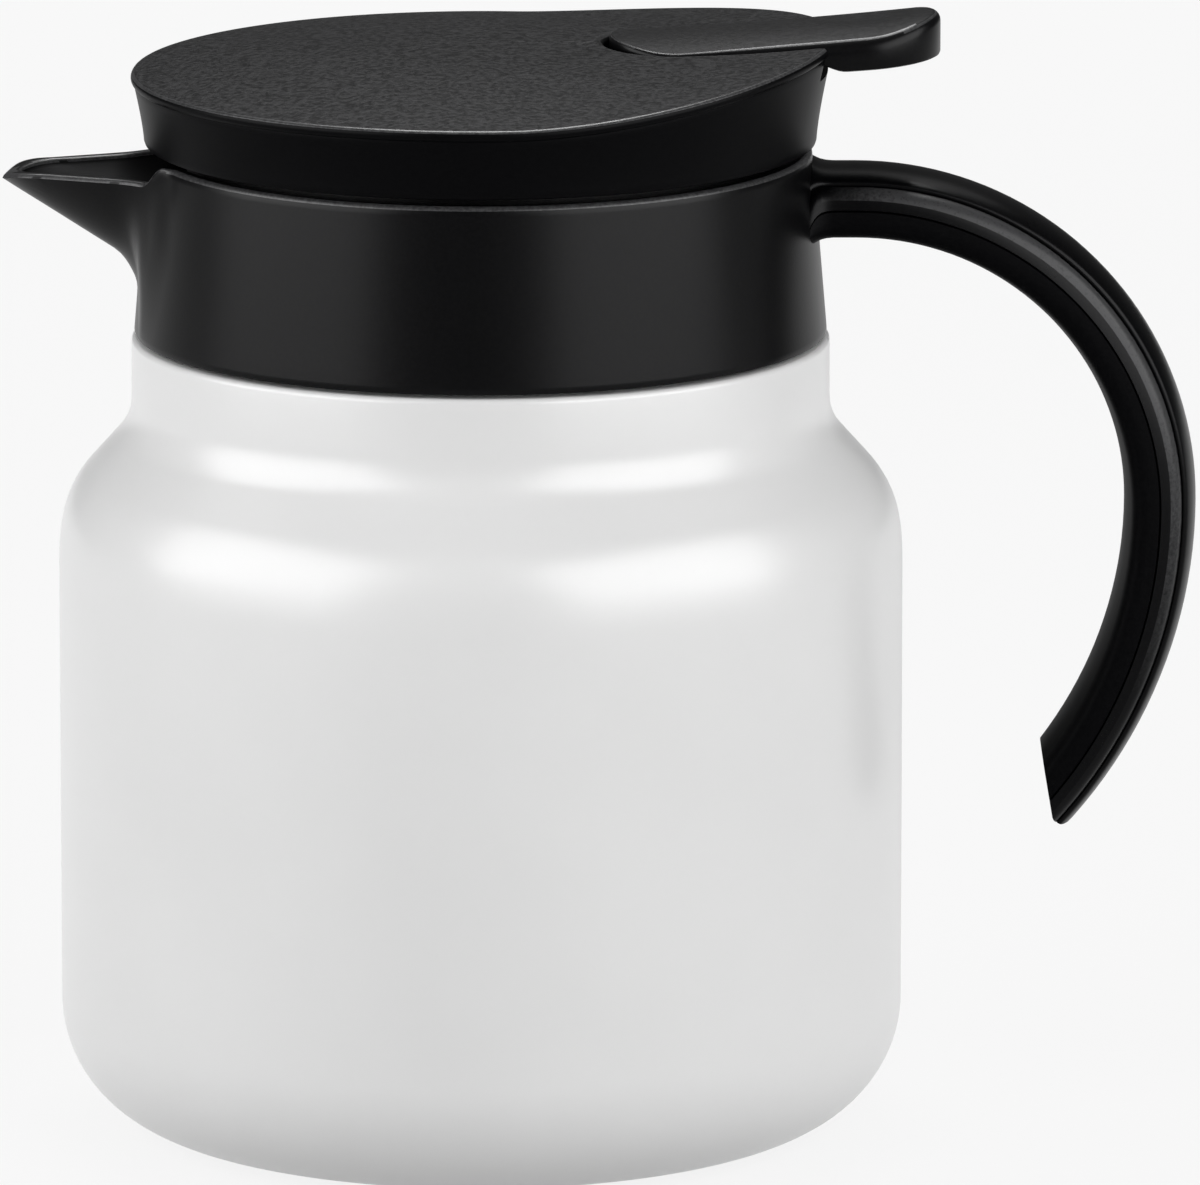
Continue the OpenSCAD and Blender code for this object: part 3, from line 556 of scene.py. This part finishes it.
def lid_column(turn):
    """Points of the lid from the middle of its top over lip and skirt to the middle of its underside."""
    top_r, lip = top_reach(turn), RIM_Z + lip_rise(turn) - LIP_R
    under = lip - LIP_R - 0.3
    line = []
    for i in range(TOP_ROWS + 1):
        r = top_r * (i / TOP_ROWS) ** 0.9
        line.append((r, lid_top(r * math.cos(turn), r * math.sin(turn))))
    line += arc(top_r, lip, LIP_R, 78, -66, 12)
    flare = top_r + 0.42 * LIP_R - SKIRT_R
    line += [(SKIRT_R + flare * f ** 1.3, SKIRT_Z + SKIRT_EDGE + (under - SKIRT_Z - SKIRT_EDGE) * f)
             for f in (1, 0.93, 0.8, 0.65, 0.5, 0.35, 0.2, 0.08, 0)]
    line += [(SKIRT_R - 0.12, SKIRT_Z + 0.15), (SKIRT_R - 0.45, SKIRT_Z), (SKIRT_R - 2.1, SKIRT_Z)]
    roof = RECESS_FLOOR - FLOOR_T
    line += [(SKIRT_R - SKIRT_WALL, SKIRT_Z + 3), (SKIRT_R - SKIRT_WALL, roof), (SKIRT_R - RIB_IN, roof)]
    line += [(POCKET_R, roof), (POCKET_R, POCKET_Z), (0, POCKET_Z)]
    return [(r * math.cos(turn), r * math.sin(turn), z) for r, z in line]


def recess_columns():
    """Columns of the tool that sinks the recess: wall, rounded upper edge, and on up above the lid."""
    end_steps, side_steps, tool_out, tool_top = 48, 56, 76, 185.0
    middle, half = LEVER_IN + LEVER_HALF, LEVER_HALF + LEVER_GAP
    plan = [(middle + half * math.cos(t), half * math.sin(t), math.cos(t), math.sin(t))
            for t in (math.radians(90 + 180 * i / end_steps) for i in range(end_steps + 1))]
    sides = [middle + (tool_out - middle) * (i / side_steps) for i in range(1, side_steps + 1)]
    mouth = math.sqrt((RIM_R + LIP_FLARE * RIM_RISE) ** 2 - half ** 2)

    def splay(x):
        into = max(0, x - mouth + LOBE_R)
        return LOBE_R - math.sqrt(LOBE_R ** 2 - min(into, 0.95 * LOBE_R) ** 2)

    plan += [(x, -half - splay(x), 0, -1) for x in sides]
    plan += [(x, half + splay(x), 0, 1) for x in sides[::-1]]
    columns = []
    for x, y, nx, ny in plan:
        top = lid_top(x, y)
        rows = [(-0.5, RECESS_FLOOR), (-0.12, RECESS_FLOOR + 0.12), (0, RECESS_FLOOR + 0.5), (0, top - 0.7),
                (0.07, top - 0.34), (0.26, top - 0.1), (0.85, top + 0.16), (0.95, tool_top)]
        columns.append([(x + nx * out, y + ny * out, z) for out, z in rows])
    return columns


def carved(mesh, tool):
    """Takes the tool's solid away from a mesh."""
    pair = []
    for name, part in (("work", mesh), ("tool", tool)):
        data = bpy.data.meshes.new(name)
        part.to_mesh(data)
        part.free()
        pair.append(bpy.data.objects.new(name, data))
        bpy.context.scene.collection.objects.link(pair[-1])
    work, cutter = pair
    knife = work.modifiers.new("carve", "BOOLEAN")
    knife.operation, knife.solver, knife.object = "DIFFERENCE", "EXACT", cutter
    result = bmesh.new()
    result.from_object(work, bpy.context.evaluated_depsgraph_get())
    for helper in pair:
        bpy.data.meshes.remove(helper.data)
    return result


# The lid's top has the coarse grain of a spark-eroded mould, which catches the light in points.
# Its skirt is plainer and dull.
spark_black = black_plastic("sparked_black_polypropylene", 0.9, 0.2, 0.55, "#080809", "#303031", 0.05)
skirt_black = black_plastic("satin_black_skirt", 0.5, 0.006, 0.38, "#030304", "#050506", 0.03)
lid_mesh = turned([lid_column(2 * math.pi * i / LID_STEPS) for i in range(LID_STEPS)], False)
recess_tool = turned(recess_columns(), False)
bmesh.ops.holes_fill(recess_tool, edges=[e for e in recess_tool.edges if e.is_boundary])
bmesh.ops.recalc_face_normals(recess_tool, faces=recess_tool.faces)
lid_mesh = carved(lid_mesh, recess_tool)
SLOT_SIZE, SLOT_DOWN = (8.6, 17, 10), 4
slot_tool = bmesh.new()
bmesh.ops.create_cube(slot_tool, size=1)
bmesh.ops.scale(slot_tool, vec=Vector(SLOT_SIZE) * MM, verts=slot_tool.verts)
bmesh.ops.translate(slot_tool, vec=Vector((PIN_X, 0, RECESS_FLOOR - SLOT_DOWN)) * MM, verts=slot_tool.verts)
lid_mesh = carved(lid_mesh, slot_tool)
TOP_FACING, LIP_FACING = 0.94, 0.45
# The lip's upward-facing faces take the lighter black, a painted highlight along the lid's edge.
for face in lid_mesh.faces:
    x, y, z = face.calc_center_median() / MM
    sunk = x > LEVER_IN - 1 and abs(y) < LEVER_HALF + 1 and z < RECESS_FLOOR + 0.6
    on_top = face.normal.z > TOP_FACING and not sunk
    lip = LIP_FACING < face.normal.z < TOP_FACING and math.hypot(x, y) > RIM_R - 2
    face.material_index = 0 if on_top else 2 if lip else 1
lid = finished("lid_top", lid_mesh, spark_black, "lid", "black_plastic", "lid_cover")
lid.data.materials.append(skirt_black)
lid.data.materials.append(painted_highlight_black)


# Lever: a black thumb lever on a steel pin, with a rounded front edge, a shallow dish for the thumb at its
# outer end, and a forked arm under the lid that lifts the valve.
LEVER_Z, PIN_Z, NOSE_Z = 161.235, 156.035, 151.435
LEVER_STEPS = 168
LEVER_UP, LEVER_SLOPE, LEVER_CURVE, LEVER_CROWN = 5.3, 0.045, 0.00065, 1.9
DISH_X, DISH_LONG, DISH_HALF, DISH_DEEP = 56.5, 7.5, 5.5, 0.55
OVERHANG_T, OVERHANG_FROM, OVERHANG_TO = 1.4, 48.5, 54
END_SLOPE, END_FROM = 0.072, 52.8
BOSS_LONG, BOSS_DOWN, BOSS_HALF = 3.4, 2.8, 8.2
ARM_HALF, ARM_SIDE, ARM_IN = 1.5, 4.5, 2
NOSE_R, NOSE_CUT = 1.3, 0.9


def lever_top(x, y):
    """Height of the lever's top, with the thumb dish."""
    along = x - LEVER_IN
    height = RIM_Z + LEVER_UP + LEVER_SLOPE * along + LEVER_CURVE * along ** 2
    dish = min(1, math.hypot((x - DISH_X) / DISH_LONG, y / DISH_HALF))
    return height - LEVER_CROWN * abs(y / LEVER_HALF) ** 2.6 - DISH_DEEP * (1 - dish * dish) ** 1.5


def lever_under(x):
    """Height of the lever's underside, which drops outside the lid and rises again toward the end."""
    return LEVER_Z - OVERHANG_T * step(OVERHANG_FROM, OVERHANG_TO, x) + END_SLOPE * max(0, x - END_FROM)


def lever_columns():
    """Columns from the lever's middle line over its top, edge and underside, back to the middle line."""
    first, last = LEVER_IN + LEVER_HALF, LEVER_OUT - LEVER_HALF
    straight, bend = last - first, math.pi * LEVER_HALF
    columns = []
    for i in range(LEVER_STEPS):
        s = 2 * (straight + bend) * i / LEVER_STEPS
        if s < straight:
            middle, nx, ny = first + s, 0, -1
        elif s < straight + bend:
            t = (s - straight) / LEVER_HALF - math.pi / 2
            middle, nx, ny = last, math.cos(t), math.sin(t)
        elif s < 2 * straight + bend:
            middle, nx, ny = last - (s - straight - bend), 0, 1
        else:
            t = (s - 2 * straight - bend) / LEVER_HALF + math.pi / 2
            middle, nx, ny = first, math.cos(t), math.sin(t)
        out_x = middle + nx * LEVER_HALF
        edge = 0.6 + 1.0 * step(22, 48, out_x)
        rows = [(d, 0.0) for d in (11, 9.6, 8.2, 6.8, 5.4, 4.2, 3.2, 2.4)]
        rows += [(edge * (1 - math.sin(t)), -edge * (1 - math.cos(t)))
                 for t in (math.radians(90 * k / 6) for k in range(7))]
        column = []
        for inset, drop in rows:
            x, y = middle + nx * (LEVER_HALF - inset), ny * (LEVER_HALF - inset)
            column.append((x, y, lever_top(x, y) + drop))
        for inset, lift in ((0, 0.5), (0.15, 0.15), (0.5, 0), (4, 0), (8, 0), (11, 0)):
            x, y = middle + nx * (LEVER_HALF - inset), ny * (LEVER_HALF - inset)
            column.append((x, y, lever_under(x) + lift))
        columns.append(column)
    return columns


def bar(mesh, outline, half_width):
    """Adds a flat bar to a mesh: an outline in x and z, as wide as twice half_width."""
    verts = [mesh.verts.new(Vector((x, -half_width, z)) * MM) for x, z in outline]
    face = mesh.faces.new(verts)
    grown = bmesh.ops.extrude_face_region(mesh, geom=[face], use_keep_orig=True)["geom"]
    bmesh.ops.translate(mesh, vec=(0, 2 * half_width * MM, 0),
                        verts=[g for g in grown if isinstance(g, bmesh.types.BMVert)])


# The lever's top is textured for the thumb, finer than the lid, so it shines a little more evenly.
lever_black = black_plastic("satin_black_lever", 0.8, 0.06, 0.56, "#060607", "#1A1A1B", 0.06)
lever_mesh = turned(lever_columns(), False)
bar(lever_mesh, [(PIN_X - BOSS_LONG, PIN_Z - BOSS_DOWN), (PIN_X + BOSS_LONG, PIN_Z - BOSS_DOWN),
                 (PIN_X + BOSS_LONG, LEVER_Z + 0.5), (PIN_X - BOSS_LONG, LEVER_Z + 0.5)], BOSS_HALF)
for side in (-1, 1):
    arm = bmesh.new()
    bar(arm, [(PIN_X - ARM_IN, PIN_Z), (PIN_X - ARM_IN, PIN_Z - BOSS_DOWN), (0, NOSE_Z - NOSE_R),
              (-NOSE_CUT, NOSE_Z - NOSE_CUT), (-NOSE_R, NOSE_Z), (-NOSE_CUT, NOSE_Z + NOSE_CUT),
              (0, NOSE_Z + NOSE_R)], ARM_HALF)
    bmesh.ops.translate(arm, vec=(0, side * ARM_SIDE * MM, 0), verts=arm.verts)
    scrap = bpy.data.meshes.new("arm")
    arm.to_mesh(scrap)
    arm.free()
    lever_mesh.from_mesh(scrap)
    bpy.data.meshes.remove(scrap)
bmesh.ops.recalc_face_normals(lever_mesh, faces=lever_mesh.faces)
BLADE_FACING, EDGE_FACING = 0.88, 0.7
# Faces of the rounded top edge that face partly upward take the lighter black, a painted highlight.
for face in lever_mesh.faces:
    face.material_index = 0 if face.normal.z > BLADE_FACING else 2 if face.normal.z > EDGE_FACING else 1
lever = finished("lever_blade", lever_mesh, lever_black, "lever", "black_plastic", "lever")
lever.data.materials.append(satin_black)
lever.data.materials.append(painted_highlight_black)


# Stopper and valve: the hidden works, moulded in a plainer black, with grey silicone seals.
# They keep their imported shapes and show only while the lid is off.
inner_black = black_plastic("moulded_inner_black", 0.6, 0.008, 0.4, "#131314", "#1A1A1B")
clothe(inner_black, "stopper", "stopper_base", "gland_cap", "valve_stem")

# Silicone rubber: a matt, faintly clouded grey with a soft film on it.
grey_silicone, tree = blank_material("grey_silicone_rubber")
place = add(tree, "TexCoord").outputs["Object"]
mottle = add(tree, "TexNoise", {"Scale": 1 / (3 * MM), "Detail": 3.0}, {"Vector": place})
rubber_tone = add(tree, "ValToRGB", links={"Fac": mottle.outputs["Fac"]})
rubber_tone.color_ramp.elements[0].color = linear("#A4A4A6")
rubber_tone.color_ramp.elements[1].color = linear("#B6B6B8")
film = add(tree, "Bump", {"Strength": 0.4, "Distance": 0.02 * MM}, {"Height": mottle.outputs["Fac"]})
rubber = add(tree, "BsdfPrincipled", {"IOR": 1.41, "Roughness": 0.6},
             {"Base Color": rubber_tone.outputs["Color"], "Normal": film.outputs["Normal"]})
add(tree, "OutputMaterial", links={"Surface": rubber.outputs["BSDF"]})
clothe(grey_silicone, "neck_seal", "stopper_gasket", "base_ring", "stem_ring", "valve_seal")


# Valve spring: a coil of drawn stainless wire round the stem, pressed between the valve plate and the deck.
COIL_R, WIRE_R, COIL_TURNS, TURN_STEPS = 4.6, 0.45, 6, 24
COIL_LOW, COIL_HIGH, DECK_Z = 130.55, 144.12, 144.635
coil_mesh = bmesh.new()
wire = bmesh.ops.create_circle(coil_mesh, segments=10, radius=WIRE_R * MM)["verts"]
bmesh.ops.rotate(coil_mesh, verts=wire, cent=(0, 0, 0), matrix=Matrix.Rotation(math.pi / 2, 3, "X"))
bmesh.ops.translate(coil_mesh, verts=wire, vec=Vector((COIL_R, 0, COIL_LOW)) * MM)
bmesh.ops.spin(coil_mesh, geom=coil_mesh.verts[:] + coil_mesh.edges[:], cent=(0, 0, 0), axis=(0, 0, 1),
               angle=2 * math.pi * COIL_TURNS, steps=TURN_STEPS * COIL_TURNS,
               dvec=(0, 0, (COIL_HIGH - COIL_LOW) / (TURN_STEPS * COIL_TURNS) * MM))
bmesh.ops.holes_fill(coil_mesh, edges=[e for e in coil_mesh.edges if e.is_boundary])
bmesh.ops.recalc_face_normals(coil_mesh, faces=coil_mesh.faces)
coil = finished("valve_coil", coil_mesh, brushed_steel, "lid", "steel", "valve_spring")
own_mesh(coil)


# Stage: a pale floor that the lens and gloss see as near white, with the jug's shadow kept on it. Two wide soft
# boxes stand in front, one hangs overhead, a weak one and a low fill stand behind, and a long lens looks from
# a little above the jug.
FLOOR_R, FLOOR_WHITE = 2.1, 0.86
pale_floor, tree = blank_material("pale_floor")
ray = add(tree, "LightPath")
seen = ray.outputs["Is Camera Ray"]
for kind in ("Is Glossy Ray", "Is Transmission Ray"):
    seen = add(tree, "Math", links={0: seen, 1: ray.outputs[kind]}, operation="MAXIMUM").outputs[0]
white = add(tree, "Math", {1: FLOOR_WHITE}, {0: seen}, operation="MULTIPLY")
paper = add(tree, "BsdfDiffuse", {"Color": linear("#CCCCCC")})
glow = add(tree, "Emission", {"Color": (1, 1, 1, 1), "Strength": 1.0})
ground = add(tree, "MixShader", links={0: white.outputs[0], 1: paper.outputs[0], 2: glow.outputs[0]})
add(tree, "OutputMaterial", links={"Surface": ground.outputs[0]})
floor_mesh = bmesh.new()
bmesh.ops.create_circle(floor_mesh, cap_ends=True, segments=96, radius=FLOOR_R)
bmesh.ops.translate(floor_mesh, vec=(0, 0, -0.02 * MM), verts=floor_mesh.verts)
floor_data = bpy.data.meshes.new("floor")
floor_mesh.to_mesh(floor_data)
floor_mesh.free()
floor_data.materials.append(pale_floor)
floor = bpy.data.objects.new("floor", floor_data)
bpy.context.scene.collection.objects.link(floor)

world = bpy.data.worlds.new("studio")
world.use_nodes = True
tree = world.node_tree
tree.nodes.clear()
sky = add(tree, "Background", {"Color": (1, 1, 1, 1), "Strength": 0.09})
add(tree, "OutputWorld", links={"Surface": sky.outputs["Background"]})
bpy.context.scene.world = world

TARGET = Vector((17.65, 0, 79.7)) * MM


def soft_box(name, turn, rise, distance, width, height, shine, light):
    """A soft box that faces the jug, turned from the camera's side toward the handle and raised, in degrees.

    Its shine on gloss and the light that it gives are two lamps, one just before the other, each with
    a level of its own; a level of 0 leaves that lamp out.
    """
    turn, rise = math.radians(turn), math.radians(rise)
    away = Vector((math.sin(turn) * math.cos(rise), -math.cos(turn) * math.cos(rise), math.sin(rise)))
    for part, radiance, behind in (("shine", shine, 0.02), ("light", light, 0)):
        if radiance == 0:
            continue
        lamp = bpy.data.lights.new(name + "_" + part, "AREA")
        lamp.shape = "RECTANGLE"
        lamp.size, lamp.size_y = width, height
        lamp.energy = radiance * math.pi * width * height
        box = bpy.data.objects.new(name + "_" + part, lamp)
        box.location = Vector((0, 0, 0.09)) + away * (distance + behind)
        box.rotation_euler = away.to_track_quat("Z", "Y").to_euler()
        box.visible_camera = False
        box.visible_glossy = part == "shine"
        box.visible_diffuse = part == "light"
        bpy.context.scene.collection.objects.link(box)


soft_box("left_box", -66, 23, 1.15, 1.45, 1.0, 7.5, 2.6)
soft_box("right_box", 55, 23, 1.15, 1.45, 1.0, 7.5, 2.6)
soft_box("top_box", 180, 72, 1.2, 0.6, 0.6, 24.0, 2.4)
soft_box("back_box", 180, 48, 1.5, 1.4, 0.5, 1.2, 1.6)
soft_box("back_fill", 180, 14, 1.5, 1.6, 0.8, 0, 1.7)

CAMERA_RISE, CAMERA_AWAY, FRAME_WIDE = 11.85, 2.4, 178.0
lens = bpy.data.cameras.new("long_lens")
lens.sensor_width = 36
lens.lens = lens.sensor_width * CAMERA_AWAY / (FRAME_WIDE * MM)
camera = bpy.data.objects.new("long_lens", lens)
rise = math.radians(CAMERA_RISE)
away = Vector((0, -math.cos(rise), math.sin(rise)))
camera.location = TARGET + away * CAMERA_AWAY
camera.rotation_euler = away.to_track_quat("Z", "Y").to_euler()
bpy.context.scene.collection.objects.link(camera)
bpy.context.scene.camera = camera
bpy.context.scene.view_settings.view_transform = "Standard"
